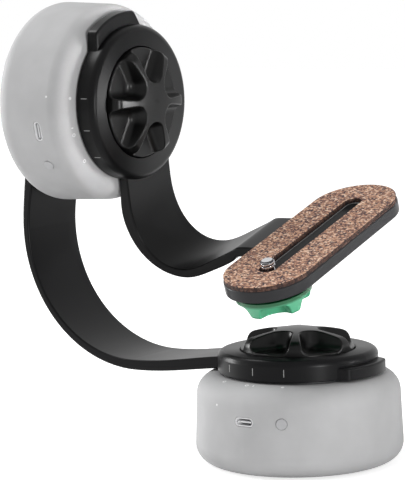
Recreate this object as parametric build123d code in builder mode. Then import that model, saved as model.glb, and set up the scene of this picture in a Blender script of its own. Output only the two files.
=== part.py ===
from build123d import *
import math
import os

# Motorised pan and tilt bracket: two round drive heads carry two curved arms, and the second arm
# ends in a slotted, cork-faced camera plate. Millimetres. Z = 0 is the face that rests on a tripod,
# the pan axis is Z, and the tilt axis runs along X at the height tilt_axis_height.

# Drive head, the same one for pan and for tilt. Depths run down from its seat, the platter's top
head_depth = 41.0
head_shoulder_radius = 45.4
head_foot_radius = 47.1
head_shoulder_round = 9.0
head_foot_round = 8.5
head_top_drop = 0.9
head_wall = 2.4
platter_radius = 33.0
platter_thickness = 5.0
platter_gap = 0.6
platter_flange = 1.2
platter_flange_reach = 1.8
platter_thread_depth = 14.5
hub_radius = 9.0
hub_depth = 20.0
hub_end_gap = 0.6
tower_radius = 13.5
tower_top = 10.0
bush_wall = 2.0
bush_length = 9.0
running_clearance = 0.05
base_plate_radius = 38.4
base_plate_thickness = 3.0
base_plate_gap = 0.2
pad_inner_radius = 9.5
pad_outer_radius = 32.5
pad_thickness = 1.6
pad_proud = 0.6
socket_radius = 7.0
socket_depth = 11.0
base_screw_circle = 35.6
base_screw_radius = 1.25
base_screw_head_radius = 1.9
base_screw_head_height = 1.4
base_screw_length = 8.0
base_screw_gap = 0.2
base_screw_drive_radius = 1.2
base_screw_drive_depth = 0.8
base_screw_angles = (60.0, 180.0, 300.0)
screw_post_radius = 2.6
screw_post_height = 29.0
screw_rib_width = 2.0

# Gear train in each head. Angles inside a head count from its charging port
gear_module = 0.8
gear_teeth = 60
pinion_teeth = 12
gear_thickness = 4.0
gear_backlash = 0.12
thrust_gap = 0.1
pinion_end_gap = 0.4
pinion_shaft_radius = 1.5
motor_radius = 10.5
motor_boss_radius = 3.5
motor_boss_height = 1.0
motor_edge_chamfer = 0.6
motor_shaft_depth = 5.0
motor_angle = 120.0
motor_top = 11.0

# Electrics in each head
port_width = 9.4
port_height = 4.2
port_wall = 0.5
port_drop = 16.1
port_sink = 0.3
port_clearance = 0.15
port_tongue_width = 6.6
port_tongue_height = 0.7
board_width = 30.0
board_height = 25.0
board_thickness = 1.6
board_radius = 38.0
battery_angle = 240.0
battery_length = 38.0
battery_width = 16.0
battery_height = 24.0
battery_corner_round = 2.0
battery_radius = 25.0
button_radius = 2.4
button_proud = 0.5
button_length = 3.9
button_flange = 0.8
button_drop = 16.1
button_clearance = 0.15
button_edge_round = 0.25
button_angle = 22.0
pan_port_angle = -88.0
tilt_port_angle = 103.6

# Ring of each arm, which sits on a platter and holds a hand knob in its cup
ring_radius = 36.0
ring_height = 9.5
ring_round = 2.8
ring_foot_round = 0.4
ring_lip_round = 0.4
cup_radius = 26.0
cup_floor = 3.5
stud_hole_radius = 3.6
tilt_lug_radius = 42.3
pan_lug_radius = 39.8
lug_root_reach = 28.5
lug_height = 5.4
tilt_lug_half_angle = 20.8
pan_lug_half_angle = 23.0
lug_taper = 17.5
lug_corner_round = 3.2
lug_edge_round = 1.0

# Threads are plain cylinders of the outside diameter of a quarter inch screw
thread_radius = 3.175
thread_clearance = 0.06

# Black hand knobs
knob_clearance = 0.5
knob_top = 18.8
knob_dome_radius = 90.0
knob_rim_round = 4.4
knob_pockets = 6
knob_pocket_start = 15.4
knob_pocket_floor = 10.4
knob_pocket_spread = 29.0
knob_pocket_draft = 17.0
knob_pocket_round = 3.6
knob_web = 2.1
knob_edge_round = 0.7
pan_knob_turn = 31.0
tilt_knob_turn = 41.5
knob_washer_radius = 12.0
knob_washer_thickness = 0.8
stud_reach = 10.0
stud_head_flats = 11.0
stud_head_height = 2.6

# Main arm, an S at each end of a wide quarter turn, in heights above the pan seat
tilt_axis_above_seat = 118.4
main_arm_width = 36.0
main_bend_reach = 79.2
main_bend_low = -4.4
main_bend_radius = 64.2
main_bend_thickness = 5.9
main_bend_shift = (-2.3, -1.2)
main_root_x = -31.0
main_root_bottom = 0.35
main_root_top = 5.8
main_root_slope = 0.11
main_end_thickness = 5.5
main_end_straight = 22.4
main_end_offset = 2.8
arm_edge_round = 0.8
arm_screw_head_radius = 8.0
arm_screw_head_height = 3.2
arm_screw_slot_width = 1.6
arm_screw_slot_depth = 1.5
arm_screw_reach = 7.5
arm_screw_hole = 3.4

# Camera arm, in its own level frame: x from the tilt seat, heights above the tilt axis.
# The ramp, flat and plate are placed from the plate's centre, which lies at the reach
rest_tilt = 17.5
camera_reach = 93.5
camera_arm_width = 34.6
camera_outer = ((0.35, -31.0), (-2.8, -49.0), (1.4, -67.0), (14.9, -78.9), (27.5, -81.0))
camera_inner = ((5.2, -31.0), (3.2, -50.0), (7.2, -66.6), (17.1, -75.4), (26.0, -76.8))
camera_outer_ramp = ((-52.0, -77.0), (-37.0, -70.2))
camera_inner_ramp = ((-50.0, -71.2), (-36.4, -64.9))
camera_root_slope = 0.11
camera_flat_start = -23.0
camera_flat_end = -12.0
plate_bottom = -68.0
plate_thickness = 5.4
plate_width = 41.6
plate_spacing = 73.2
plate_centre = (0.0, -5.1)
plate_edge_round = 0.5
slot_width = 6.8
track_width = 16.6
track_depth = 1.4
cork_thickness = 2.2
cork_margin = 0.4
cork_slot_width = 9.0
arm_step = 0.7

# Camera screw, the collar that keeps it square in the plate's track, and its hand knob
camera_screw_proud = 3.9
camera_screw_tip = 0.7
camera_shank_radius = 2.6
camera_shank_proud = 0.6
camera_screw_depth = 10.0
collar_radius = 8.0
collar_thickness = 1.8
collar_bore_radius = 3.3
camera_knob_radius = 17.3
camera_knob_drop = 2.2
camera_knob_neck_radius = 9.0
camera_knob_height = 12.2
camera_knob_dome_radius = 60.0
camera_knob_rim_round = 2.2
camera_knob_flange = 2.0
camera_knob_flange_step = 0.3
camera_knob_lip = 0.6
camera_knob_taper = 1.8
camera_knob_pockets = 5
camera_knob_pocket_start = 12.2
camera_knob_pocket_spread = 30.0
camera_knob_pocket_draft = 16.0
camera_knob_pocket_round = 2.6
camera_knob_web = 2.4
camera_knob_edge_round = 0.7
camera_knob_turn = -14.6

cavity_top = -head_top_drop - head_wall
cavity_bottom = -head_depth + head_wall
cavity_radius = (head_shoulder_radius + head_foot_radius) / 2 - head_wall
base_plate_top = -head_depth + base_plate_thickness
gear_bottom = -platter_thickness - gear_thickness
wall_flare = (head_foot_radius - head_shoulder_radius) / (head_depth - head_top_drop)
seat_height = head_depth + pad_proud
tilt_seat_x = (
    main_end_offset + main_end_thickness + seat_height - main_bend_reach - main_bend_radius
)
tilt_axis_height = seat_height + tilt_axis_above_seat
tilt_sin = math.sin(math.radians(rest_tilt))
tilt_cos = math.cos(math.radians(rest_tilt))
cork_bottom = plate_bottom + plate_thickness
screw_spot = (plate_centre[0], plate_centre[1] - plate_spacing / 2)
collar_top = plate_bottom + track_depth - running_clearance
collar_bottom = collar_top - collar_thickness

# Head planes sit on the seat with z along the axis, out of the head
pan_head = Plane(origin=(0, 0, seat_height), x_dir=(1, 0, 0), z_dir=(0, 0, 1))
tilt_head = Plane(origin=(tilt_seat_x, 0, tilt_axis_height), x_dir=(0, 0, 1), z_dir=(1, 0, 0))

# A ring's x points to its lug, away from its arm
pan_ring = pan_head
tilt_ring = Plane(origin=tilt_head.origin, x_dir=(0, -tilt_sin, tilt_cos), z_dir=(1, 0, 0))
camera_level = Plane(
    origin=(tilt_seat_x + camera_reach, 0, tilt_axis_height),
    x_dir=(1, 0, 0),
    z_dir=(0, -tilt_sin, tilt_cos),
)


def side_of(plane):
    # The upright plane through an axis: x runs out from the axis and y runs along it
    return Plane(origin=plane.origin, x_dir=plane.x_dir, z_dir=-plane.y_dir)


def axis_of(plane):
    return Axis(plane.origin, plane.z_dir)


def turned_to(plane, angle):
    # The same seat, with its x swung by an angle about its axis
    swing = math.radians(angle)
    return Plane(
        origin=plane.origin,
        x_dir=plane.x_dir * math.cos(swing) + plane.y_dir * math.sin(swing),
        z_dir=plane.z_dir,
    )


def wall_plane(swung, drop):
    # A plane through the head's axis, at a depth, that faces out through the wall along x
    return Plane(
        origin=swung.from_local_coords((0, 0, -drop)), x_dir=swung.y_dir, z_dir=swung.x_dir
    )


def wall_radius(drop):
    return head_shoulder_radius + wall_flare * (drop - head_top_drop)


def outline_profile(plane, *outline):
    # A closed outline of (radius, height) points, upright beside a plane's axis
    with BuildSketch(side_of(plane)) as profile:
        with BuildLine():
            Polyline(*outline, close=True)
        make_face()
    return profile.sketch


def screw_spots(radius):
    spots = []
    for angle in base_screw_angles:
        swing = math.radians(angle)
        spots.append((radius * math.cos(swing), radius * math.sin(swing)))
    return spots


def save(piece, name):
    piece.part.label = name
    export_step(piece.part, f"parts/{name}.step")
    print(name, len(piece.part.solids()), round(piece.part.volume, 1))


def make_housing(head, name):
    # The moulded body of a drive head: a crowned shoulder, a slightly flared wall and a round foot
    with BuildPart() as housing:
        with BuildSketch(side_of(head)):
            with BuildLine():
                outside = FilletPolyline(
                    (0, -head_top_drop),
                    (head_shoulder_radius, -head_top_drop),
                    (head_foot_radius, -head_depth),
                    (0, -head_depth),
                    radius=[head_shoulder_round, head_foot_round],
                )
                Line(outside @ 1, outside @ 0)
            make_face()
        revolve(axis=axis_of(head))
        with BuildSketch(side_of(head)):
            with BuildLine():
                inside = FilletPolyline(
                    (0, cavity_top),
                    (head_shoulder_radius - head_wall, cavity_top),
                    (head_foot_radius - head_wall, cavity_bottom),
                    (0, cavity_bottom),
                    radius=[head_shoulder_round - head_wall, head_foot_round - head_wall],
                )
                Line(inside @ 1, inside @ 0)
            make_face()
        revolve(axis=axis_of(head), mode=Mode.SUBTRACT)
        with BuildSketch(head.offset(cavity_top)):
            Circle(platter_radius + platter_gap)
        extrude(amount=head_wall * 2, mode=Mode.SUBTRACT)
        with BuildSketch(head.offset(cavity_bottom)):
            Circle(base_plate_radius + base_plate_gap)
        extrude(amount=-head_wall * 2, mode=Mode.SUBTRACT)
        with BuildSketch(head.offset(base_plate_top)):
            with Locations(*screw_spots(base_screw_circle)):
                Circle(screw_post_radius)
            for angle in base_screw_angles:
                with PolarLocations((base_screw_circle + cavity_radius) / 2, 1, angle):
                    Rectangle(cavity_radius - base_screw_circle + 1, screw_rib_width)
        extrude(amount=screw_post_height)
        with BuildSketch(head.offset(base_plate_top)):
            with Locations(*screw_spots(base_screw_circle)):
                Circle(base_screw_radius + running_clearance)
        extrude(amount=base_screw_length, mode=Mode.SUBTRACT)
        with BuildSketch(wall_plane(head, port_drop)):
            RectangleRounded(port_width, port_height, port_height / 2 - 0.1)
        extrude(amount=head_foot_radius, mode=Mode.SUBTRACT)
        with BuildSketch(wall_plane(turned_to(head, button_angle), button_drop)):
            Circle(button_radius + button_clearance)
        extrude(amount=head_foot_radius, mode=Mode.SUBTRACT)
    save(housing, f"{name}_housing")


def make_base(head, name):
    # The base plate closes the foot and its tower carries the platter's bush
    bore_floor = -hub_depth - hub_end_gap
    plate_profile = outline_profile(
        head,
        (socket_radius, -head_depth),
        (base_plate_radius, -head_depth),
        (base_plate_radius, base_plate_top),
        (tower_radius, base_plate_top),
        (tower_radius, -tower_top),
        (hub_radius + bush_wall, -tower_top),
        (hub_radius + bush_wall, -tower_top - bush_length),
        (hub_radius + hub_end_gap, -tower_top - bush_length),
        (hub_radius + hub_end_gap, bore_floor),
        (0, bore_floor),
        (0, -head_depth + socket_depth),
        (socket_radius, -head_depth + socket_depth),
    )
    with BuildPart() as base_plate:
        revolve(plate_profile, axis=axis_of(head))
        with BuildSketch(head.offset(-head_depth)):
            Circle(pad_outer_radius)
            Circle(pad_inner_radius, mode=Mode.SUBTRACT)
        extrude(amount=pad_thickness - pad_proud, mode=Mode.SUBTRACT)
        with BuildSketch(head.offset(-head_depth)):
            with Locations(*screw_spots(base_screw_circle)):
                Circle(base_screw_radius + base_screw_gap)
        extrude(amount=base_plate_thickness, mode=Mode.SUBTRACT)
        with BuildSketch(head.offset(-head_depth)):
            with Locations(*screw_spots(base_screw_circle)):
                Circle(base_screw_head_radius + base_screw_gap)
        extrude(amount=base_screw_head_height, mode=Mode.SUBTRACT)
    save(base_plate, f"{name}_base_plate")

    with BuildPart() as base_pad:
        with BuildSketch(head.offset(-head_depth - pad_proud)):
            Circle(pad_outer_radius)
            Circle(pad_inner_radius, mode=Mode.SUBTRACT)
        extrude(amount=pad_thickness)
    save(base_pad, f"{name}_base_pad")

    with BuildPart() as socket:
        with BuildSketch(head.offset(-head_depth - pad_proud)):
            Circle(socket_radius)
            Circle(thread_radius + thread_clearance, mode=Mode.SUBTRACT)
        extrude(amount=socket_depth + pad_proud)
    save(socket, f"{name}_socket")

    with BuildPart() as screws:
        with BuildSketch(head.offset(-head_depth)):
            with Locations(*screw_spots(base_screw_circle)):
                Circle(base_screw_head_radius)
        extrude(amount=base_screw_head_height)
        with BuildSketch(head.offset(-head_depth)):
            with Locations(*screw_spots(base_screw_circle)):
                Circle(base_screw_radius)
        extrude(amount=base_plate_thickness + base_screw_length - base_screw_gap)
        with BuildSketch(head.offset(-head_depth)):
            with Locations(*screw_spots(base_screw_circle)):
                RegularPolygon(base_screw_drive_radius, 6)
        extrude(amount=base_screw_drive_depth, mode=Mode.SUBTRACT)
    save(screws, f"{name}_base_screws")

    bush_profile = outline_profile(
        head,
        (hub_radius + running_clearance, -tower_top - bush_length),
        (hub_radius + bush_wall, -tower_top - bush_length),
        (hub_radius + bush_wall, -tower_top),
        (tower_radius, -tower_top),
        (tower_radius, gear_bottom - thrust_gap),
        (hub_radius + running_clearance, gear_bottom - thrust_gap),
    )
    with BuildPart() as bush:
        revolve(bush_profile, axis=axis_of(head))
    save(bush, f"{name}_bush")


def gear_outline(teeth, phase):
    # Straight-sided teeth of the pitch circle's size, the first one centred on the phase angle
    pitch_radius = gear_module * teeth / 2
    root_radius = pitch_radius - gear_module * 1.2
    tip_radius = pitch_radius + gear_module * 0.85
    half_width = gear_module * math.pi / 4 - gear_backlash
    root_half = half_width + gear_module * 0.4
    tip_half = half_width - gear_module * 0.33
    points = []
    for tooth in range(teeth):
        middle = math.radians(phase) + 2 * math.pi * tooth / teeth
        corners = (
            (root_radius, -root_half / pitch_radius),
            (tip_radius, -tip_half / pitch_radius),
            (tip_radius, tip_half / pitch_radius),
            (root_radius, root_half / pitch_radius),
        )
        for radius, swing in corners:
            points.append((radius * math.cos(middle + swing), radius * math.sin(middle + swing)))
    return points


def make_platter(head, name):
    # The turning top: a disc held down by its own rim flange, on a hub with the hand knob's thread
    platter_profile = outline_profile(
        head,
        (thread_radius + thread_clearance, 0),
        (platter_radius, 0),
        (platter_radius, -platter_thickness + platter_flange),
        (platter_radius + platter_flange_reach, -platter_thickness + platter_flange),
        (platter_radius + platter_flange_reach, -platter_thickness),
        (hub_radius, -platter_thickness),
        (hub_radius, -hub_depth),
        (0, -hub_depth),
        (0, -platter_thread_depth),
        (thread_radius + thread_clearance, -platter_thread_depth),
    )
    with BuildPart() as platter:
        revolve(platter_profile, axis=axis_of(head))
    save(platter, f"{name}_platter")

    with BuildPart() as gear:
        with BuildSketch(head.offset(gear_bottom)):
            with BuildLine():
                Polyline(*gear_outline(gear_teeth, motor_angle), close=True)
            make_face()
            Circle(hub_radius, mode=Mode.SUBTRACT)
        extrude(amount=gear_thickness)
    save(gear, f"{name}_gear")

    swung = turned_to(head, motor_angle)
    centre_distance = gear_module * (gear_teeth + pinion_teeth) / 2
    motor_axis = Plane(
        origin=swung.from_local_coords((centre_distance, 0, 0)),
        x_dir=swung.x_dir,
        z_dir=swung.z_dir,
    )
    with BuildPart() as pinion:
        with BuildSketch(motor_axis.offset(gear_bottom)):
            with BuildLine():
                Polyline(*gear_outline(pinion_teeth, 180 / pinion_teeth), close=True)
            make_face()
        extrude(amount=gear_thickness - pinion_end_gap)
        with BuildSketch(motor_axis.offset(gear_bottom)):
            Circle(pinion_shaft_radius)
        extrude(amount=-motor_shaft_depth)
    save(pinion, f"{name}_pinion")

    with BuildPart() as motor:
        with BuildSketch(motor_axis.offset(base_plate_top)):
            Circle(motor_radius)
        extrude(amount=-motor_top - base_plate_top)
        chamfer(motor.edges().filter_by(GeomType.CIRCLE), length=motor_edge_chamfer)
        with BuildSketch(motor_axis.offset(-motor_top)):
            Circle(motor_boss_radius)
        extrude(amount=motor_boss_height)
        with BuildSketch(motor_axis.offset(-motor_top + motor_boss_height)):
            Circle(pinion_shaft_radius + running_clearance)
        extrude(amount=-motor_shaft_depth, mode=Mode.SUBTRACT)
    save(motor, f"{name}_motor")


def make_electrics(head, name):
    # Battery and circuit board stand on the base plate, and the port and button reach the wall
    with BuildPart() as battery:
        with BuildSketch(turned_to(head, battery_angle).offset(base_plate_top)):
            with Locations((battery_radius, 0)):
                RectangleRounded(battery_width, battery_length, battery_corner_round)
        extrude(amount=battery_height)
    save(battery, f"{name}_battery")

    with BuildPart() as board:
        with BuildSketch(head.offset(base_plate_top)):
            with Locations((board_radius - board_thickness / 2, 0)):
                Rectangle(board_thickness, board_width)
        extrude(amount=board_height)
    save(board, f"{name}_board")

    port_plane = wall_plane(head, port_drop)
    port_reach = wall_radius(port_drop) - board_radius - port_sink
    with BuildPart() as port:
        with BuildSketch(port_plane.offset(board_radius)):
            RectangleRounded(
                port_width - 2 * port_clearance,
                port_height - 2 * port_clearance,
                port_height / 2 - port_clearance - 0.1,
            )
        extrude(amount=port_reach)
        with BuildSketch(port_plane.offset(board_radius + port_wall * 2)):
            RectangleRounded(
                port_width - 2 * port_clearance - 2 * port_wall,
                port_height - 2 * port_clearance - 2 * port_wall,
                port_height / 2 - port_clearance - port_wall - 0.1,
            )
        extrude(amount=port_reach, mode=Mode.SUBTRACT)
        with BuildSketch(port_plane.offset(board_radius + port_wall)):
            Rectangle(port_tongue_width, port_tongue_height)
        extrude(amount=port_reach - 2 * port_wall)
    save(port, f"{name}_port")

    button_plane = wall_plane(turned_to(head, button_angle), button_drop)
    button_top = wall_radius(button_drop) + button_proud
    with BuildPart() as button:
        with BuildSketch(button_plane.offset(button_top)):
            Circle(button_radius)
        extrude(amount=-button_length)
        with BuildSketch(button_plane.offset(button_top - button_length)):
            Circle(button_radius + button_flange)
        extrude(amount=button_flange)
        outer_end = button.edges().sort_by(axis_of(button_plane))[-1]
        fillet(outer_end, radius=button_edge_round)
    save(button, f"{name}_button")


def make_ring(seat, lug_radius, half_angle):
    # The ring of an arm: a round-edged collar, a cup for the knob and a lug opposite the arm
    with BuildPart() as ring:
        with BuildSketch(side_of(seat)):
            with BuildLine():
                outside = FilletPolyline(
                    (stud_hole_radius, 0),
                    (ring_radius, 0),
                    (ring_radius, ring_height),
                    (cup_radius, ring_height),
                    radius=[ring_foot_round, ring_round],
                )
                Polyline(
                    outside @ 1,
                    (cup_radius, cup_floor),
                    (stud_hole_radius, cup_floor),
                    outside @ 0,
                )
            make_face()
            lip = vertices().sort_by_distance((cup_radius, ring_height))[0]
            fillet(lip, radius=ring_lip_round)
        revolve(axis=axis_of(seat))
        with BuildSketch(seat):
            with BuildLine():
                rim = CenterArc((0, 0), lug_radius, -half_angle, 2 * half_angle)
                far_x, far_y = (rim @ 1).X, (rim @ 1).Y
                root_y = far_y + (far_x - lug_root_reach) * math.tan(math.radians(lug_taper))
                Polyline(rim @ 1, (lug_root_reach, root_y), (lug_root_reach, -root_y), rim @ 0)
            make_face()
            fillet(vertices().sort_by_distance((0, 0))[-2:], radius=lug_corner_round)
        extrude(amount=lug_height)
        lug_rim = ring.edges().filter_by(lambda edge: is_lug_rim(edge, seat))
        fillet(lug_rim, radius=lug_edge_round)
    return ring.part


def is_lug_rim(edge, seat):
    # True for the edges round the top of a ring's lug
    middle = seat.to_local_coords(edge.center())
    outside = math.hypot(middle.X, middle.Y) > ring_radius + 0.5
    return abs(middle.Z - lug_height) < 0.01 and outside


def is_long_edge(edge, level, half_width):
    # True for the edges that run the length of an arm's two sides, and round its free end
    middle = level.to_local_coords(edge.center())
    on_side = abs(abs(middle.Y) - half_width) < 0.01
    if edge.geom_type == GeomType.CIRCLE:
        return on_side or abs(edge.radius - half_width) < 0.01
    return on_side and edge.length > half_width / 2


def make_dome(seat, side, top_radius, top, crown, rim_round):
    # A turned knob under a crowned top: its side is given as points from the rim to the bottom
    drop = crown - math.sqrt(crown**2 - top_radius**2)
    middle_drop = crown - math.sqrt(crown**2 - top_radius**2 / 4)
    with BuildPart() as dome:
        with BuildSketch(side_of(seat)):
            with BuildLine():
                arc = ThreePointArc(
                    (0, top), (top_radius / 2, top - middle_drop), (top_radius, top - drop)
                )
                Polyline(arc @ 1, *side, (0, side[-1][1]), arc @ 0)
            make_face()
            rim = vertices().sort_by_distance((top_radius, top - drop))[0]
            fillet(rim, radius=rim_round)
        revolve(axis=axis_of(seat))
    return dome.part


def make_pockets(seat, count, start, web, spread, draft, bottom_round, floor, top, reach):
    # The hollows to cut from a knob: flat floors, leaning walls and a round end by the hub
    radius = start * math.sin(math.pi / count) - web / 2
    side = math.radians(spread)
    touch = (start - radius * math.sin(side), radius * math.cos(side))
    far = (touch[0] + reach * math.cos(side), touch[1] + reach * math.sin(side))
    with BuildPart() as pockets:
        for number in range(count):
            swung = turned_to(seat, 360 * number / count)
            with BuildPart(mode=Mode.PRIVATE) as pocket:
                with BuildSketch(swung.offset(top)):
                    with BuildLine():
                        ThreePointArc((touch[0], -touch[1]), (start - radius, 0), touch)
                        Polyline(touch, far, (far[0], -far[1]), (touch[0], -touch[1]))
                    make_face()
                extrude(amount=floor - top, taper=draft)
                bottom = pocket.faces().sort_by(axis_of(seat))[0].edges()
                fillet(bottom, radius=bottom_round)
            add(pocket)
    return pockets.part


def make_knob(seat, turn, name):
    # A domed hand knob with flat-floored finger pockets that run out through its rim
    radius = cup_radius - knob_clearance
    bottom = cup_floor + knob_washer_thickness
    swung = turned_to(seat, turn)
    side = [(radius, bottom)]
    dome = make_dome(swung, side, radius, knob_top, knob_dome_radius, knob_rim_round)
    pockets = make_pockets(
        swung,
        knob_pockets,
        knob_pocket_start,
        knob_web,
        knob_pocket_spread,
        knob_pocket_draft,
        knob_pocket_round,
        knob_pocket_floor,
        knob_top,
        radius,
    )
    with BuildPart() as knob:
        add(dome)
        add(pockets, mode=Mode.SUBTRACT)
        fillet(new_edges(dome, pockets, combined=knob.part), radius=knob_edge_round)
        with BuildSketch(swung.offset(bottom)):
            RegularPolygon(stud_head_flats / 2, 6, major_radius=False)
        extrude(amount=stud_head_height, mode=Mode.SUBTRACT)
    save(knob, f"{name}_knob")

    with BuildPart() as stud:
        with BuildSketch(swung.offset(bottom)):
            RegularPolygon(stud_head_flats / 2, 6, major_radius=False)
        extrude(amount=stud_head_height)
        with BuildSketch(swung.offset(bottom)):
            Circle(thread_radius)
        extrude(amount=-bottom - stud_reach)
    save(stud, f"{name}_knob_stud")

    with BuildPart() as washer:
        with BuildSketch(seat.offset(cup_floor)):
            Circle(knob_washer_radius)
            Circle(thread_radius + thread_clearance, mode=Mode.SUBTRACT)
        extrude(amount=knob_washer_thickness)
    save(washer, f"{name}_knob_washer")


def make_main_arm():
    # A wide bent strip whose ends curve back to lie flat on the two heads
    outer_x, outer_z = -main_bend_reach, main_bend_low + main_bend_radius
    inner_x, inner_z = outer_x + main_bend_shift[0], outer_z + main_bend_shift[1]
    inner_radius = main_bend_radius - main_bend_thickness
    diagonal = math.sqrt(0.5)
    end_depth = -head_depth - pad_proud
    end_x = tilt_seat_x + end_depth
    end_low = tilt_axis_above_seat - main_end_straight
    end_top = tilt_axis_above_seat + main_arm_width / 2
    ring = make_ring(pan_ring, pan_lug_radius, pan_lug_half_angle)
    with BuildPart() as main_arm:
        with BuildSketch(side_of(pan_head)):
            with BuildLine():
                outer = ThreePointArc(
                    (outer_x, outer_z - main_bend_radius),
                    (
                        outer_x - main_bend_radius * diagonal,
                        outer_z - main_bend_radius * diagonal,
                    ),
                    (outer_x - main_bend_radius, outer_z),
                )
                inner = ThreePointArc(
                    (inner_x, inner_z - inner_radius),
                    (
                        inner_x - inner_radius * diagonal,
                        inner_z - inner_radius * diagonal,
                    ),
                    (inner_x - inner_radius, inner_z),
                )
                outer_end = Spline(
                    outer @ 1,
                    (end_x - main_end_thickness, end_low),
                    tangents=[(0, 1), (0, 1)],
                )
                inner_end = Spline(inner @ 1, (end_x, end_low), tangents=[(0, 1), (0, 1)])
                Polyline(
                    outer_end @ 1,
                    (end_x - main_end_thickness, end_top),
                    (end_x, end_top),
                    inner_end @ 1,
                )
                outer_root = Spline(
                    outer @ 0,
                    (main_root_x, main_root_bottom),
                    tangents=[(1, 0), (1, main_root_slope)],
                )
                inner_root = Spline(
                    inner @ 0,
                    (main_root_x, main_root_top),
                    tangents=[(1, 0), (1, main_root_slope)],
                )
                Line(outer_root @ 1, inner_root @ 1)
            make_face()
        extrude(amount=main_arm_width / 2, both=True)
        with BuildSketch(Plane.YZ.offset(2 * end_x)):
            with Locations((0, tilt_axis_height)):
                Circle(main_arm_width / 2)
            with Locations((0, tilt_axis_height / 2)):
                Rectangle(main_arm_width, tilt_axis_height)
        extrude(amount=-3 * end_x, mode=Mode.INTERSECT)
        fillet(
            main_arm.edges().filter_by(
                lambda edge: is_long_edge(edge, pan_head, main_arm_width / 2)
            ),
            radius=arm_edge_round,
        )
        add(ring)
        with BuildSketch(tilt_head.offset(end_depth)):
            Circle(arm_screw_hole)
        extrude(amount=-main_end_thickness, mode=Mode.SUBTRACT)
    save(main_arm, "main_arm")

    outer_face = tilt_head.offset(end_depth - main_end_thickness)
    with BuildPart() as arm_screw:
        with BuildSketch(outer_face):
            Circle(arm_screw_head_radius)
        extrude(amount=-arm_screw_head_height)
        with BuildSketch(outer_face):
            Circle(thread_radius)
        extrude(amount=main_end_thickness + arm_screw_reach)
        with BuildSketch(outer_face.offset(-arm_screw_head_height)):
            Rectangle(2 * arm_screw_head_radius, arm_screw_slot_width)
        extrude(amount=arm_screw_slot_depth, mode=Mode.SUBTRACT)
    save(arm_screw, "arm_screw")


def from_seat(points):
    # Points of the camera arm given from the plate's centre, as distances from the tilt seat
    return [(camera_reach + x, z) for x, z in points]


def make_camera_arm():
    # The second arm: ring, bend and flat end in one piece with the slotted camera plate
    arm_flat_top = cork_bottom - arm_step
    arm_level = Plane(
        origin=tilt_head.origin, x_dir=camera_level.x_dir, z_dir=camera_level.z_dir
    )
    with BuildPart() as plate_body:
        with BuildSketch(camera_level.offset(plate_bottom)):
            with Locations(plate_centre):
                SlotCenterToCenter(plate_spacing, plate_width, rotation=90)
        extrude(amount=plate_thickness)
        fillet(plate_body.edges(), radius=plate_edge_round)

    ring = make_ring(tilt_ring, tilt_lug_radius, tilt_lug_half_angle)
    with BuildPart() as camera_arm:
        with BuildSketch(side_of(arm_level)):
            with BuildLine():
                outer = Spline(
                    *camera_outer,
                    *from_seat(camera_outer_ramp),
                    (camera_reach + camera_flat_start, plate_bottom),
                    tangents=[(-camera_root_slope, -1), (1, 0)],
                )
                inner = Spline(
                    *camera_inner,
                    *from_seat(camera_inner_ramp),
                    (camera_reach + camera_flat_start, arm_flat_top),
                    tangents=[(-camera_root_slope, -1), (1, 0)],
                )
                Polyline(
                    outer @ 1,
                    (camera_reach + camera_flat_end, plate_bottom),
                    (camera_reach + camera_flat_end, arm_flat_top),
                    inner @ 1,
                )
                Line(outer @ 0, inner @ 0)
            make_face()
        extrude(amount=camera_arm_width / 2, both=True)
        fillet(
            camera_arm.edges().filter_by(
                lambda edge: is_long_edge(edge, camera_level, camera_arm_width / 2)
            ),
            radius=arm_edge_round,
        )
        add(ring)
        add(plate_body.part)
        with BuildSketch(camera_level.offset(plate_bottom)):
            with Locations(plate_centre):
                SlotCenterToCenter(plate_spacing, slot_width, rotation=90)
        extrude(amount=plate_thickness, mode=Mode.SUBTRACT)
        with BuildSketch(camera_level.offset(plate_bottom)):
            with Locations(plate_centre):
                SlotCenterToCenter(plate_spacing, track_width, rotation=90)
        extrude(amount=track_depth, mode=Mode.SUBTRACT)
    save(camera_arm, "camera_arm")

    with BuildPart() as cork_pad:
        with BuildSketch(camera_level.offset(cork_bottom)):
            with Locations(plate_centre):
                SlotCenterToCenter(plate_spacing, plate_width - 2 * cork_margin, rotation=90)
                SlotCenterToCenter(
                    plate_spacing, cork_slot_width, rotation=90, mode=Mode.SUBTRACT
                )
        extrude(amount=cork_thickness)
    save(cork_pad, "cork_pad")


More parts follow.
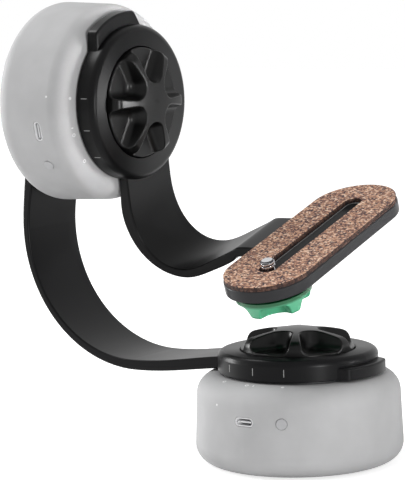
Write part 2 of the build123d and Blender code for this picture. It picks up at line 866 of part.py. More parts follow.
def make_camera_screw():
    # The screw and its knob turn in a collar that slides along the track under the slot
    with BuildPart() as slot_collar:
        with BuildSketch(camera_level.offset(collar_top)):
            with Locations(screw_spot):
                Circle(collar_radius)
                Circle(collar_bore_radius, mode=Mode.SUBTRACT)
        extrude(amount=-collar_thickness)
    save(slot_collar, "slot_collar")

    knob_seat = Plane(
        origin=camera_level.from_local_coords((*screw_spot, plate_bottom)),
        x_dir=camera_level.x_dir,
        z_dir=-camera_level.z_dir,
    )
    swung_seat = turned_to(knob_seat, camera_knob_turn)
    neck_start = plate_bottom - collar_bottom
    flange_top = camera_knob_drop + camera_knob_flange
    side = [
        (camera_knob_radius - camera_knob_flange_step, flange_top),
        (camera_knob_radius, flange_top),
        (camera_knob_radius, camera_knob_drop),
    ]
    dome = make_dome(
        swung_seat,
        side,
        camera_knob_radius - camera_knob_taper,
        camera_knob_height,
        camera_knob_dome_radius,
        camera_knob_rim_round,
    )
    pockets = make_pockets(
        swung_seat,
        camera_knob_pockets,
        camera_knob_pocket_start,
        camera_knob_web,
        camera_knob_pocket_spread,
        camera_knob_pocket_draft,
        camera_knob_pocket_round,
        flange_top + camera_knob_lip,
        camera_knob_height,
        camera_knob_radius,
    )
    with BuildPart() as camera_knob:
        add(dome)
        add(pockets, mode=Mode.SUBTRACT)
        fillet(
            new_edges(dome, pockets, combined=camera_knob.part),
            radius=camera_knob_edge_round,
        )
        with BuildSketch(knob_seat.offset(neck_start)):
            Circle(camera_knob_neck_radius)
        extrude(amount=camera_knob_drop - neck_start)
        with BuildSketch(knob_seat):
            Circle(thread_radius)
        extrude(amount=camera_screw_depth, mode=Mode.SUBTRACT)
    save(camera_knob, "camera_knob")

    # Its shank is slimmer than the thread, from the collar to just above the cork
    cork_face = -plate_thickness - cork_thickness
    thread_start = cork_face - camera_shank_proud
    tip = cork_face - camera_screw_proud
    with BuildPart() as camera_screw:
        with BuildSketch(side_of(knob_seat)):
            with BuildLine():
                Polyline(
                    (0, camera_screw_depth),
                    (thread_radius, camera_screw_depth),
                    (thread_radius, plate_bottom - collar_top),
                    (camera_shank_radius, plate_bottom - collar_top),
                    (camera_shank_radius, thread_start),
                    (thread_radius, thread_start),
                    (thread_radius, tip + camera_screw_tip),
                    (thread_radius - camera_screw_tip, tip),
                    (0, tip),
                    (0, camera_screw_depth),
                )
            make_face()
        revolve(axis=axis_of(knob_seat))
    save(camera_screw, "camera_screw")


os.makedirs("parts", exist_ok=True)
for seat, port_angle, name in (
    (pan_head, pan_port_angle, "pan"),
    (tilt_head, tilt_port_angle, "tilt"),
):
    swung_head = turned_to(seat, port_angle)
    make_housing(swung_head, name)
    make_base(swung_head, name)
    make_platter(swung_head, name)
    make_electrics(swung_head, name)
make_knob(pan_ring, pan_knob_turn, "pan")
make_knob(tilt_ring, tilt_knob_turn, "tilt")
make_main_arm()
make_camera_arm()
make_camera_screw()
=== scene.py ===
import bmesh
import bpy
import math
import numpy as np
from mathutils import Matrix, Vector


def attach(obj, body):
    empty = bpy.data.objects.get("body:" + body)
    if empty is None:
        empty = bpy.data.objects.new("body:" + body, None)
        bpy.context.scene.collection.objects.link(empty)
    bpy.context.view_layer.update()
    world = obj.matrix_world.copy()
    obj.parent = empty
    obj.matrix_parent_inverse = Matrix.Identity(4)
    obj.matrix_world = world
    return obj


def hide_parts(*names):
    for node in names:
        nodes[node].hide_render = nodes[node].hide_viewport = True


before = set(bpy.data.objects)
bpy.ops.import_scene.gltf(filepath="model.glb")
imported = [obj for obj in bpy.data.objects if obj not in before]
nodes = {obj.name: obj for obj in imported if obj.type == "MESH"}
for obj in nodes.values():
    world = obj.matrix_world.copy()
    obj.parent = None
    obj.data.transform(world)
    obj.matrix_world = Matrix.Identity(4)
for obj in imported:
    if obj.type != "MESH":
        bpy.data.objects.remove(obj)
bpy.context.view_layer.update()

# The model's frame in metres: the pan axis is Z, and the tilt axis runs along X
seatHeight = 0.0416  # where the pan ring sits on its head
tiltHeight = 0.160  # the tilt axis above the floor
tiltSeat = -0.0935  # where the tilt ring sits, along X
restTilt = math.radians(17.5)  # the camera plate's slope at rest

# The plate's frame starts on the tilt axis, and its z stands square on the plate
plateFrame = Matrix.Translation((0, 0, tiltHeight)) @ Matrix.Rotation(restTilt, 4, "X")

# Each head's frame starts at its seat: z runs out along its axis, and x points to the lug of its
# ring. Side says which way round from the lug its marks stand
heads = {
    "pan": {
        "frame": Matrix.Translation((0, 0, seatHeight)),
        "side": -1,
        "body": "pan_base",
        "ringBody": "pan_turn",
    },
    "tilt": {
        "frame": Matrix(
            (
                (0, 0, 1, tiltSeat),
                (-math.sin(restTilt), -math.cos(restTilt), 0, 0),
                (math.cos(restTilt), -math.sin(restTilt), 0, tiltHeight),
                (0, 0, 0, 1),
            )
        ),
        "side": 1,
        "body": "pan_turn",
        "ringBody": "tilt_turn",
    },
}


cameraView = {
    "position": (0.55943, -0.84136, 0.22491),
    "yaw": 125.964,  # degrees from X towards Y
    "pitch": -7.0065,
    "roll": -1.5947,
    "focalPixels": 2282.32,  # focal length, in pixels of the photo
    "photoHeight": 480,
    "sensorHeight": 36,
}


def aimCamera():
    yaw, pitch, roll = (math.radians(cameraView[name]) for name in ("yaw", "pitch", "roll"))
    forward = Vector(
        (math.cos(pitch) * math.cos(yaw), math.cos(pitch) * math.sin(yaw), math.sin(pitch))
    )
    level = forward.cross(Vector((0, 0, 1))).normalized()
    upright = level.cross(forward)
    right = level * math.cos(roll) + upright * math.sin(roll)
    up = upright * math.cos(roll) - level * math.sin(roll)
    data = bpy.data.cameras.new("camera")
    data.sensor_fit = "VERTICAL"
    data.sensor_height = cameraView["sensorHeight"]
    data.lens = cameraView["focalPixels"] * cameraView["sensorHeight"] / cameraView["photoHeight"]
    data.clip_start = 0.05
    data.clip_end = 20
    camera = bpy.data.objects.new("camera", data)
    bpy.context.collection.objects.link(camera)
    turned = Matrix((right, up, -forward)).transposed().to_4x4()
    camera.matrix_world = Matrix.Translation(cameraView["position"]) @ turned
    bpy.context.scene.camera = camera


def newMaterial(name):
    material = bpy.data.materials.new(name)
    material.use_nodes = True
    tree = material.node_tree
    tree.nodes.clear()
    output = tree.nodes.new("ShaderNodeOutputMaterial")
    shader = tree.nodes.new("ShaderNodeBsdfPrincipled")
    tree.links.new(shader.outputs[0], output.inputs["Surface"])
    return material, tree, shader


def opened(material):
    # Node tree of a finished material, with the shader in it
    tree = material.node_tree
    return tree, next(node for node in tree.nodes if node.type == "BSDF_PRINCIPLED")


def feed(tree, socket, value):
    # A socket takes another node's output or a plain value
    if isinstance(value, bpy.types.NodeSocket):
        tree.links.new(value, socket)
    else:
        socket.default_value = value


def coordinates(tree):
    return tree.nodes.new("ShaderNodeTexCoord").outputs["Object"]


def splitAxes(tree):
    split = tree.nodes.new("ShaderNodeSeparateXYZ")
    tree.links.new(coordinates(tree), split.inputs[0])
    return split.outputs


def mathNode(tree, operation, first, second):
    node = tree.nodes.new("ShaderNodeMath")
    node.operation = operation
    feed(tree, node.inputs[0], first)
    feed(tree, node.inputs[1], second)
    return node.outputs[0]


def noiseNode(tree, vector, scale, detail=2.0, rough=0.5):
    noise = tree.nodes.new("ShaderNodeTexNoise")
    noise.inputs["Scale"].default_value = scale
    noise.inputs["Detail"].default_value = detail
    noise.inputs["Roughness"].default_value = rough
    tree.links.new(vector, noise.inputs["Vector"])
    return noise.outputs["Fac"]


def rampNode(tree, factor, *stops):
    ramp = tree.nodes.new("ShaderNodeValToRGB")
    elements = ramp.color_ramp.elements
    while len(elements) < len(stops):
        elements.new(0.5)
    for element, (place, colour) in zip(elements, stops):
        element.position = place
        element.color = (*colour, 1)
    tree.links.new(factor, ramp.inputs["Fac"])
    return ramp.outputs["Color"]


def rangeNode(tree, factor, low, high, start=0.0, end=1.0):
    span = tree.nodes.new("ShaderNodeMapRange")
    span.inputs["From Min"].default_value = start
    span.inputs["From Max"].default_value = end
    span.inputs["To Min"].default_value = low
    span.inputs["To Max"].default_value = high
    tree.links.new(factor, span.inputs["Value"])
    return span.outputs["Result"]


def multiplyNode(tree, amount, base, tint):
    # The base is multiplied by the tint as far as the amount says
    mix = tree.nodes.new("ShaderNodeMix")
    mix.data_type = "RGBA"
    mix.blend_type = "MULTIPLY"
    feed(tree, mix.inputs["Factor"], amount)
    feed(tree, mix.inputs["A"], base)
    feed(tree, mix.inputs["B"], tint)
    return mix.outputs["Result"]


def bumpNode(tree, height, strength, distance, normal=None):
    bump = tree.nodes.new("ShaderNodeBump")
    feed(tree, bump.inputs["Strength"], strength)
    bump.inputs["Distance"].default_value = distance
    tree.links.new(height, bump.inputs["Height"])
    if normal:
        tree.links.new(normal, bump.inputs["Normal"])
    return bump.outputs["Normal"]


def shade(colour, factor):
    return tuple(min(1.0, channel * factor) for channel in colour)


mouldedLook = {"driftScale": 45, "dark": 0.93, "light": 1.07, "bump": 0.35}


def moulded(name, colour, roughness, grain=2600, depth=0.00002, level=0.5):
    # Fine grained surface: a slow drift in tone and gloss over a small, even grain
    material, tree, shader = newMaterial(name)
    vector = coordinates(tree)
    drift = noiseNode(tree, vector, mouldedLook["driftScale"], 3)
    fine = noiseNode(tree, vector, grain, 2)
    dark = shade(colour, mouldedLook["dark"])
    light = shade(colour, mouldedLook["light"])
    tree.links.new(rampNode(tree, drift, (0.3, dark), (0.7, light)), shader.inputs["Base Color"])
    tree.links.new(rangeNode(tree, drift, *roughness), shader.inputs["Roughness"])
    normal = bumpNode(tree, fine, mouldedLook["bump"], depth)
    tree.links.new(normal, shader.inputs["Normal"])
    shader.inputs["Specular IOR Level"].default_value = level
    return material


metalLook = {"streakScale": 900, "dark": 0.9, "bump": 0.3, "depth": 0.00001}


def metal(name, colour, roughness):
    # Turned or plated metal with faint streaks in its tone and gloss
    material, tree, shader = newMaterial(name)
    fine = noiseNode(tree, coordinates(tree), metalLook["streakScale"], 4, 0.6)
    dark = shade(colour, metalLook["dark"])
    tree.links.new(rampNode(tree, fine, (0.3, dark), (0.7, colour)), shader.inputs["Base Color"])
    tree.links.new(rangeNode(tree, fine, *roughness), shader.inputs["Roughness"])
    normal = bumpNode(tree, fine, metalLook["bump"], metalLook["depth"])
    tree.links.new(normal, shader.inputs["Normal"])
    shader.inputs["Metallic"].default_value = 1.0
    return material


def bothHeads(*pieces):
    return [f"{head}_{piece}" for head in heads for piece in pieces]


# Each finish by its name: the nodes that wear it, then its colour, its roughness from and to,
# and where they differ from the usual its grain, the grain's depth and the gloss level
mouldedFinishes = {
    "housingGrey": (
        bothHeads("housing"),
        {"colour": (0.47, 0.47, 0.475), "roughness": (0.6, 0.7), "level": 0.2},
    ),
    "basePlastic": (
        bothHeads("base_plate"),
        {"colour": (0.035, 0.035, 0.037), "roughness": (0.45, 0.6)},
    ),
    "padRubber": (
        bothHeads("base_pad"),
        {"colour": (0.022, 0.022, 0.022), "roughness": (0.7, 0.9), "grain": 1500, "depth": 0.00005},
    ),
    "buttonGrey": (
        bothHeads("button"),
        {"colour": (0.43, 0.43, 0.44), "roughness": (0.4, 0.5)},
    ),
    "portGrey": (
        bothHeads("port"),
        {"colour": (0.72, 0.72, 0.73), "roughness": (0.4, 0.5)},
    ),
    "gearNylon": (
        bothHeads("gear", "pinion"),
        {"colour": (0.75, 0.73, 0.64), "roughness": (0.4, 0.5)},
    ),
    "batteryWrap": (
        bothHeads("battery"),
        {"colour": (0.02, 0.05, 0.16), "roughness": (0.25, 0.4)},
    ),
    "circuitGreen": (
        bothHeads("board"),
        {"colour": (0.01, 0.1, 0.04), "roughness": (0.3, 0.45)},
    ),
    "knobBlack": (
        bothHeads("knob"),
        {
            "colour": (0.003, 0.003, 0.003),
            "roughness": (0.27, 0.33),
            "grain": 3000,
            "depth": 0.00001,
            "level": 0.17,
        },
    ),
    "collarNylon": (
        ["slot_collar"],
        {"colour": (0.03, 0.03, 0.03), "roughness": (0.4, 0.5)},
    ),
}

# The same for metals, whose streaks are all alike
metalFinishes = {
    "zincSteel": (
        bothHeads("socket"),
        {"colour": (0.6, 0.6, 0.62), "roughness": (0.25, 0.4)},
    ),
    "brightSteel": (
        bothHeads("motor", "knob_stud", "knob_washer"),
        {"colour": (0.55, 0.55, 0.56), "roughness": (0.2, 0.35)},
    ),
    "bronze": (
        bothHeads("bush"),
        {"colour": (0.5, 0.33, 0.16), "roughness": (0.25, 0.4)},
    ),
    # Metal platter coloured near black as painted shade, so that the gap between ring and housing
    # reads as shadow
    "shadedPlatterMetal": (
        bothHeads("platter"),
        {"colour": (0.045, 0.045, 0.047), "roughness": (0.4, 0.5)},
    ),
    "blackScrew": (
        bothHeads("base_screws") + ["arm_screw"],
        {"colour": (0.05, 0.05, 0.055), "roughness": (0.3, 0.45)},
    ),
    "chrome": (
        ["camera_screw"],
        {"colour": (0.75, 0.75, 0.77), "roughness": (0.08, 0.16)},
    ),
}


def paint(names, material):
    for name in names:
        slots = nodes[name].material_slots
        if not slots:
            nodes[name].data.materials.append(material)
        for slot in slots:
            slot.material = material


def paintNodes():
    for name, (wearers, finish) in mouldedFinishes.items():
        paint(wearers, moulded(name, **finish))
    for name, (wearers, finish) in metalFinishes.items():
        paint(wearers, metal(name, **finish))
    paint(["main_arm"], mainArmMaterial())
    paint(["camera_arm"], cameraArmMaterial())
    paint(["camera_knob"], mintMaterial())
    paint(["cork_pad"], corkMaterial())


# Both arms share a fine black. Each ring's top face starts just under its full height over the
# seat, and stops at the ring's edge, so that the lug and the arm keep their own shape
armFinish = {"roughness": (0.29, 0.35), "grain": 3000, "depth": 0.00001, "level": 0.105}
armColours = {"main": (0.0045, 0.0045, 0.005), "plate": (0.035, 0.035, 0.037)}
ringCrown = {"slope": 0.3, "topHeight": 0.0075, "edgeRadius": 0.0362}


def crownRing(material, axis, seat):
    # The ring's top face reads as a low cone: a height that falls outward from the cup's edge
    tree, shader = opened(material)
    split = splitAxes(tree)
    squares = []
    for letter, middle in zip("XYZ", seat):
        if letter != axis:
            away = mathNode(tree, "SUBTRACT", split[letter], middle)
            squares.append(mathNode(tree, "MULTIPLY", away, away))
    spread = mathNode(tree, "SQRT", mathNode(tree, "ADD", *squares), 0)
    topStart = seat["XYZ".index(axis)] + ringCrown["topHeight"]
    onTop = mathNode(tree, "GREATER_THAN", split[axis], topStart)
    inside = mathNode(tree, "LESS_THAN", spread, ringCrown["edgeRadius"])
    strength = mathNode(tree, "MULTIPLY", onTop, inside)
    height = mathNode(tree, "MULTIPLY", spread, -ringCrown["slope"])
    grain = shader.inputs["Normal"].links[0].from_socket
    normal = bumpNode(tree, height, strength, distance=1.0, normal=grain)
    tree.links.new(normal, shader.inputs["Normal"])


def mainArmMaterial():
    material = moulded("main_armBlack", armColours["main"], **armFinish)
    crownRing(material, "Z", (0, 0, seatHeight))
    return material


def plateHeight(tree):
    # Distance from the tilt axis, square to the camera plate, which is tilted at rest
    height = tree.nodes.new("ShaderNodeVectorMath")
    height.operation = "DOT_PRODUCT"
    height.inputs[1].default_value = (0, -math.sin(restTilt), math.cos(restTilt))
    tree.links.new(coordinates(tree), height.inputs[0])
    return mathNode(tree, "SUBTRACT", height.outputs["Value"], tiltHeight * math.cos(restTilt))


def tintPart(tree, shader, amount, tint):
    # The shader's base colour is multiplied by the tint where the amount is 1
    base = shader.inputs["Base Color"].links[0].from_socket
    tree.links.new(multiplyNode(tree, amount, base, (*tint, 1)), shader.inputs["Base Color"])


# The plate starts past the bend that carries it, in X, and lies below this height in its frame
plateTint = {"start": -0.0212, "top": -0.055, "bendTint": (0.13, 0.13, 0.13)}


def cameraArmMaterial():
    # The camera plate is a lighter black than the bend that carries it
    material = moulded("camera_armBlack", armColours["plate"], **armFinish)
    crownRing(material, "X", (tiltSeat, 0, tiltHeight))
    tree, shader = opened(material)
    beyondBend = mathNode(tree, "GREATER_THAN", splitAxes(tree)["X"], plateTint["start"])
    below = mathNode(tree, "LESS_THAN", plateHeight(tree), plateTint["top"])
    bend = mathNode(tree, "SUBTRACT", 1, mathNode(tree, "MULTIPLY", beyondBend, below))
    tintPart(tree, shader, bend, plateTint["bendTint"])
    return material


# Painted shadow of the plate: the mint knob's flange darkens over this span of heights, towards the
# plate above it
mintKnob = {
    "finish": {
        "colour": (0.1, 0.45, 0.25),
        "roughness": (0.22, 0.3),
        "grain": 3000,
        "depth": 0.00001,
    },
    "plateShadowSpan": (-0.0728, -0.0714),
    "plateShadowTint": (0.06, 0.25, 0.15),
}


def mintMaterial():
    material = moulded("knobMint", **mintKnob["finish"])
    tree, shader = opened(material)
    # Painted shadow: the flange's top, just under the plate, is multiplied by a dark green
    plateShadow = rangeNode(tree, plateHeight(tree), 0.0, 1.0, *mintKnob["plateShadowSpan"])
    tintPart(tree, shader, plateShadow, mintKnob["plateShadowTint"])
    return material


cork = {
    "granuleScale": 1200,
    "granuleTones": (
        (0.0, (0.022, 0.012, 0.018)),
        (0.2, (0.09, 0.044, 0.045)),
        (0.42, (0.33, 0.162, 0.105)),
        (0.78, (0.64, 0.37, 0.235)),
        (1.0, (0.95, 0.72, 0.55)),
    ),
    "clumpScale": 160,
    "clumpTones": ((0.3, (0.8, 0.76, 0.78)), (0.6, (1.0, 1.0, 1.0))),
    "clumpShare": 0.8,
    "grainScale": 2400,
    "grainBump": (0.4, 0.0001),  # strength, then depth in metres
    "granuleBump": (0.6, 0.0003),
    "roughness": (0.75, 0.95),
    "sideShadeTop": -0.0606,  # the cork's sides lie below this height in the plate's frame and take painted shade
    "sideShadeTint": (0.13, 0.1, 0.1),
}


def corkMaterial():
    # Pressed cork: small granules, each with its own tone, among scattered dark flecks
    material, tree, shader = newMaterial("cork")
    vector = coordinates(tree)
    granules = tree.nodes.new("ShaderNodeTexVoronoi")
    granules.inputs["Scale"].default_value = cork["granuleScale"]
    tree.links.new(vector, granules.inputs["Vector"])
    split = tree.nodes.new("ShaderNodeSeparateColor")
    tree.links.new(granules.outputs["Color"], split.inputs["Color"])
    tone = rampNode(tree, split.outputs["Red"], *cork["granuleTones"])
    clumps = noiseNode(tree, vector, cork["clumpScale"], 3, 0.6)
    clumpTone = rampNode(tree, clumps, *cork["clumpTones"])
    mixed = multiplyNode(tree, cork["clumpShare"], tone, clumpTone)
    tree.links.new(mixed, shader.inputs["Base Color"])
    fine = noiseNode(tree, vector, cork["grainScale"], 3)
    tree.links.new(rangeNode(tree, fine, *cork["roughness"]), shader.inputs["Roughness"])
    edges = bumpNode(tree, granules.outputs["Distance"], *cork["granuleBump"])
    normal = bumpNode(tree, fine, *cork["grainBump"], edges)
    tree.links.new(normal, shader.inputs["Normal"])
    # Painted shade: the cork's sides, in the slot and round its edge, are darkened almost to black
    inSideShade = mathNode(tree, "LESS_THAN", plateHeight(tree), cork["sideShadeTop"])
    tintPart(tree, shader, inSideShade, cork["sideShadeTint"])
    return material


def placed(frameMatrix, x, y, z):
    # Grids of millimetres in a piece's own frame become one grid of points in metres
    matrix = np.array(frameMatrix)
    points = np.stack(np.broadcast_arrays(x, y, z), axis=-1) / 1000
    return points @ matrix[:3, :3].T + matrix[:3, 3]


def gridPiece(name, points, material, body):
    # Quads between the rows of a grid of points, each row closed on itself. Where a row shrinks
    # to one point or lies on another row, the copies are merged, so that poles are closed
    rows, width = points.shape[:2]
    corner = np.arange((rows - 1) * width).reshape(rows - 1, width)
    beside = np.roll(corner, -1, axis=1)
    faces = np.stack((corner, beside, beside + width, corner + width), axis=-1)
    mesh = bpy.data.meshes.new(name)
    mesh.from_pydata(points.reshape(-1, 3).tolist(), [], faces.reshape(-1, 4).tolist())
    shape = bmesh.new()
    shape.from_mesh(mesh)
    bmesh.ops.remove_doubles(shape, verts=shape.verts, dist=1e-7)
    bmesh.ops.recalc_face_normals(shape, faces=shape.faces)
    shape.to_mesh(mesh)
    shape.free()
    mesh.shade_smooth()
    mesh.set_sharp_from_angle(angle=math.radians(35))
    piece = bpy.data.objects.new(name, mesh)
    bpy.context.collection.objects.link(piece)
    piece.data.materials.append(material)
    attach(piece, body)
    return piece


def around(count):
    return np.linspace(0, 2 * math.pi, count, endpoint=False)


band = {"top": 0.04, "bottom": -0.05}  # millimetres from the surface that a mark or rim lies on


def thinBand(inner, outer):
    # Section of a thin band: up at the inner edge, across the top, down at the outer edge and back
    top, bottom = band["top"], band["bottom"]
    edges = np.array([inner, inner, outer, outer, inner])[:, None]
    lifts = np.array([bottom, top, top, bottom, bottom])[:, None]
    return edges, lifts


ringWall = {"radius": 36.0}


def wallPoints(frameMatrix, angle, place, across, lift):
    # Side wall of a ring: place runs up it and across runs round it, from the angle on
    radius = ringWall["radius"] + lift
    turn = angle + across / ringWall["radius"]
    return placed(frameMatrix, radius * np.cos(turn), radius * np.sin(turn), place)


housingShell = {
    "rimRadius": 36.77,
    "roundCentre": -9.9,  # height of the shoulder's centre, from the ring's seat
    "round": 9.0,
    "flare": math.atan(1 / 23.6),  # how the wall widens downward
}


def shoulderPoints(frameMatrix, angle, place, across, lift):
    # Housing from its top rim: place first runs round a shoulder, an arc about the rim's radius,
    # and then straight down a wall that widens
    bend, flare = housingShell["round"], housingShell["flare"]
    arcEnd = math.pi / 2 - flare
    turned = np.minimum(place / bend, arcEnd)
    beyond = np.maximum(place - bend * arcEnd, 0)
    outward = (bend + lift) * np.sin(turned) + beyond * math.sin(flare)
    upward = (bend + lift) * np.cos(turned) - beyond * math.cos(flare)
    radius = housingShell["rimRadius"] + outward
    turn = angle + across / radius
    height = housingShell["roundCentre"] + upward
    return placed(frameMatrix, radius * np.cos(turn), radius * np.sin(turn), height)


# Printed marks as (angle in degrees, place, half length, half width, share of it left open).
# Ticks are placed up the ring's wall and spots down the housing from its rim, in millimetres
printedMarks = {
    "ticks": [(angle, 4.2, 0.16, 1.7, 0) for angle in (66.5, 90, 113.5)],
    "spots": [
        (66.5, 2.4, 0.75, 0.75, 0),
        (86.5, 2.4, 0.35, 0.6, 0),
        (91.5, 2.4, 0.9, 0.9, 0.5),
        (112.5, 2.4, 0.9, 0.9, 0.5),
    ],
    "sideSpot": {"pan": (108, 14.5, 0.5, 0.5, 0), "tilt": (66, 14, 0.5, 0.5, 0)},
    "tickTone": (0.3, 0.3, 0.3),
    "spotTone": (0.8, 0.8, 0.8),
    "roughness": (0.5, 0.6),
}


def markPoints(surface, settings, angle, place, halfLength, halfWidth, hole):
    # Rounded bar: a circle of the smaller half size, stretched apart along the longer one. Scaled
    # about its middle from the open share to 1, it lies on the surface as a thin band
    turns = around(32)
    small = min(halfLength, halfWidth)
    across = small * np.cos(turns) + np.copysign(halfLength - small, np.cos(turns))
    along = small * np.sin(turns) + np.copysign(halfWidth - small, np.sin(turns))
    shares, lifts = thinBand(hole, 1)
    angle = settings["side"] * math.radians(angle)
    return surface(settings["frame"], angle, place + shares * along, shares * across, lifts)


def printMarks():
    tickInk = moulded("tickInk", printedMarks["tickTone"], printedMarks["roughness"])
    spotInk = moulded("spotInk", printedMarks["spotTone"], printedMarks["roughness"])
    for head, settings in heads.items():
        ticks = printedMarks["ticks"]
        spots = printedMarks["spots"] + [printedMarks["sideSpot"][head]]
        marks = [("Tick", wallPoints, settings["ringBody"], tickInk, mark) for mark in ticks]
        marks += [("Spot", shoulderPoints, settings["body"], spotInk, mark) for mark in spots]
        for number, (kind, surface, body, ink, mark) in enumerate(marks):
            points = markPoints(surface, settings, *mark)
            gridPiece(f"{head}{kind}{number}", points, ink, body)


# The camera screw in the plate's frame, in millimetres. Below the thread it is a turned profile
# of (height, radius), from its lower end up
cameraScrew = {
    "centre": (0, -41.7),
    "shank": ((-78, 0), (-78, 3.17), (-66.7, 3.17), (-60.0, 2.6)),
    "threadStart": -59.8,
    "chamferStart": -57.2,
    "tip": -56.5,
    "pitch": 1.27,
    "rootRadius": 2.62,
    "threadDepth": 0.555,
    "crestRadius": 3.17,
    "steepness": 1.9,  # above 1 the crests are cut flat
    "grooveStart": -59.85,  # faces above this and between these radii take the painted shadow
    "grooveRadii": (0.3, 2.95),
    "flatness": 0.95,  # unless they lie flatter than this, as the cosine of their slope
    "finish": {"colour": (0.62, 0.62, 0.64), "roughness": (0.1, 0.2)},
    "grooveShadow": {"colour": (0.06, 0.06, 0.065), "roughness": (0.35, 0.45)},
}


def threadRadii(heights, turns):
    # The radius rises and falls once each pitch and is shifted by one pitch over a turn, and above
    # the chamfer's start it shrinks by as much as the height grows
    phase = (heights / cameraScrew["pitch"] - turns / (2 * math.pi)) % 1
    crest = np.minimum(1, cameraScrew["steepness"] * (1 - np.abs(2 * phase - 1)))
    radius = cameraScrew["rootRadius"] + cameraScrew["threadDepth"] * crest
    chamfer = np.maximum(0, heights - cameraScrew["chamferStart"])
    return np.minimum(radius, cameraScrew["crestRadius"] - chamfer)


def cutScrew():
    # Turned shank below, thread above and a flat top, which is one row shrunk to a point
    turns = around(64)
    plain = np.linspace(cameraScrew["threadStart"], cameraScrew["chamferStart"], 60)
    chamfered = np.linspace(cameraScrew["chamferStart"], cameraScrew["tip"], 12)[1:]
    heights = np.concatenate((plain, chamfered))[:, None]
    thread = threadRadii(heights, turns)
    shank = np.array(cameraScrew["shank"])
    shankRadius = np.repeat(shank[:, 1:], len(turns), axis=1)
    radius = np.vstack((shankRadius, thread, 0 * thread[-1:]))
    height = np.vstack((shank[:, :1], heights, heights[-1:]))
    x = cameraScrew["centre"][0] + radius * np.cos(turns)
    y = cameraScrew["centre"][1] + radius * np.sin(turns)
    points = placed(plateFrame, x, y, height)
    screwChrome = metal("screwChrome", **cameraScrew["finish"])
    screw = gridPiece("threadedScrew", points, screwChrome, "camera_knob_turn")
    # The second material is painted shadow for the thread's grooves
    screw.data.materials.append(metal("threadShadow", **cameraScrew["grooveShadow"]))
    shadeGrooves(screw.data)
    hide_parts("camera_screw")


def shadeGrooves(mesh):
    # Sloping faces of the thread inside its crests take the second material, a painted shadow in
    # the grooves
    centres = np.empty((len(mesh.polygons), 3), dtype=np.float32)
    normals = np.empty_like(centres)
    mesh.polygons.foreach_get("center", centres.ravel())
    mesh.polygons.foreach_get("normal", normals.ravel())
    home = np.array(plateFrame.inverted())
    x, y, z = 1000 * (centres @ home[:3, :3].T + home[:3, 3]).T
    away = np.hypot(x - cameraScrew["centre"][0], y - cameraScrew["centre"][1])
    inner, outer = cameraScrew["grooveRadii"]
    inThread = (z > cameraScrew["grooveStart"]) & (away > inner) & (away < outer)
    sloping = np.abs(normals @ home[2, :3]) < cameraScrew["flatness"]
    mesh.polygons.foreach_set("material_index", (inThread & sloping).astype(np.int32))


# The slot's rim in the plate's frame, in millimetres, where a painted highlight runs
slotRim = {
    "inner": 3.42,
    "outer": 3.95,
    "halfRun": 36.6,
    "middle": -5.1,
    "ledge": -62.6,
    "finish": {"colour": (0.42, 0.42, 0.42), "roughness": (0.35, 0.45)},
}


def edgeSlot():
    # Painted highlight along the rim of the plate's slot, a thin stadium loop on the ledge beside
    # the cork: a circle pulled apart by the half run, along the slot
    turns = around(96)
    radii, lifts = thinBand(slotRim["inner"], slotRim["outer"])
    along = radii * np.sin(turns) + np.copysign(slotRim["halfRun"], np.sin(turns))
    y = slotRim["middle"] + along
    points = placed(plateFrame, radii * np.cos(turns), y, slotRim["ledge"] + lifts)
    gridPiece("slotEdge", points, moulded("slotHighlight", **slotRim["finish"]), "tilt_turn")


lamps = {
    "rightLight": {
        "place": (1.25, -0.6, 0.11),
        "target": (0, 0, 0.06),
        "size": (0.16, 0.2),
        "power": 9,
        "spread": 180,
    },
    "backLight": {
        "place": (0.8, 0.42, 0.19),
        "target": (-0.09, 0, 0.19),
        "size": (0.16, 0.24),
        "power": 0.1,
        "spread": 14,
    },
    "leftLight": {
        "place": (-1.3, -0.25, 0.24),
        "target": (-0.05, 0, 0.1),
        "size": (0.16, 0.46),
        "power": 11,
        "spread": 180,
    },
    "topLight": {
        "place": (-0.75, -0.12, 1.15),
        "target": (-0.07, 0, 0.15),
        "size": (0.5, 0.5),
        "power": 9,
        "spread": 180,
    },
}


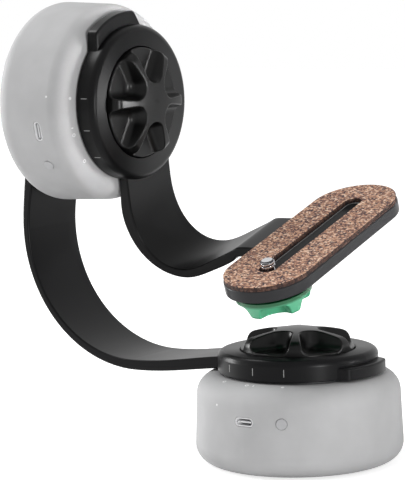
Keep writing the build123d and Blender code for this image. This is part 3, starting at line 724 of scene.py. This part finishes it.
def areaLight(name, place, target, size, power, spread):
    data = bpy.data.lights.new(name, "AREA")
    data.shape = "RECTANGLE"
    data.size, data.size_y = size
    data.energy = power
    data.spread = math.radians(spread)
    light = bpy.data.objects.new(name, data)
    bpy.context.collection.objects.link(light)
    light.location = place
    light.rotation_euler = (Vector(target) - Vector(place)).to_track_quat("-Z", "Y").to_euler()


def seenRays(tree):
    # 1 for rays that show the background: from the camera, off a gloss or through glass
    path = tree.nodes.new("ShaderNodeLightPath")
    mirrored = mathNode(
        tree, "MAXIMUM", path.outputs["Is Glossy Ray"], path.outputs["Is Transmission Ray"]
    )
    return mathNode(tree, "MAXIMUM", path.outputs["Is Camera Ray"], mirrored)


# How bright the surroundings are as light and as background, and the floor with its own glow
studio = {
    "worldLight": 0.41,
    "worldSeen": 1.0,
    "floorColour": (0.82, 0.82, 0.82, 1),
    "floorGlow": 0.7,
    "floorSize": 6,
    "floorHeight": -0.0002,
}


def lightScene():
    world = bpy.data.worlds.new("world")
    bpy.context.scene.world = world
    world.use_nodes = True
    tree = world.node_tree
    tree.nodes.clear()
    output = tree.nodes.new("ShaderNodeOutputWorld")
    strength = rangeNode(tree, seenRays(tree), studio["worldLight"], studio["worldSeen"])
    background = tree.nodes.new("ShaderNodeBackground")
    background.inputs["Color"].default_value = (1, 1, 1, 1)
    tree.links.new(strength, background.inputs["Strength"])
    tree.links.new(background.outputs[0], output.inputs["Surface"])
    for name, lamp in lamps.items():
        areaLight(name, **lamp)


def layFloor():
    bpy.ops.mesh.primitive_plane_add(
        size=studio["floorSize"], location=(0, 0, studio["floorHeight"])
    )
    floor = bpy.context.object
    floor.name = "floor"
    material, tree, shader = newMaterial("floorWhite")
    shader.inputs["Base Color"].default_value = studio["floorColour"]
    shader.inputs["Roughness"].default_value = 0.9
    shader.inputs["Specular IOR Level"].default_value = 0.0
    shader.inputs["Emission Color"].default_value = (1, 1, 1, 1)
    glow = rangeNode(tree, seenRays(tree), 0.0, studio["floorGlow"])
    tree.links.new(glow, shader.inputs["Emission Strength"])
    floor.data.materials.append(material)


aimCamera()
lightScene()
layFloor()
paintNodes()
print("camera, lamps, floor and materials ready")
printMarks()
cutScrew()
edgeSlot()
bpy.context.scene.view_settings.view_transform = "Standard"
print("printed marks, screw thread and slot rim ready")
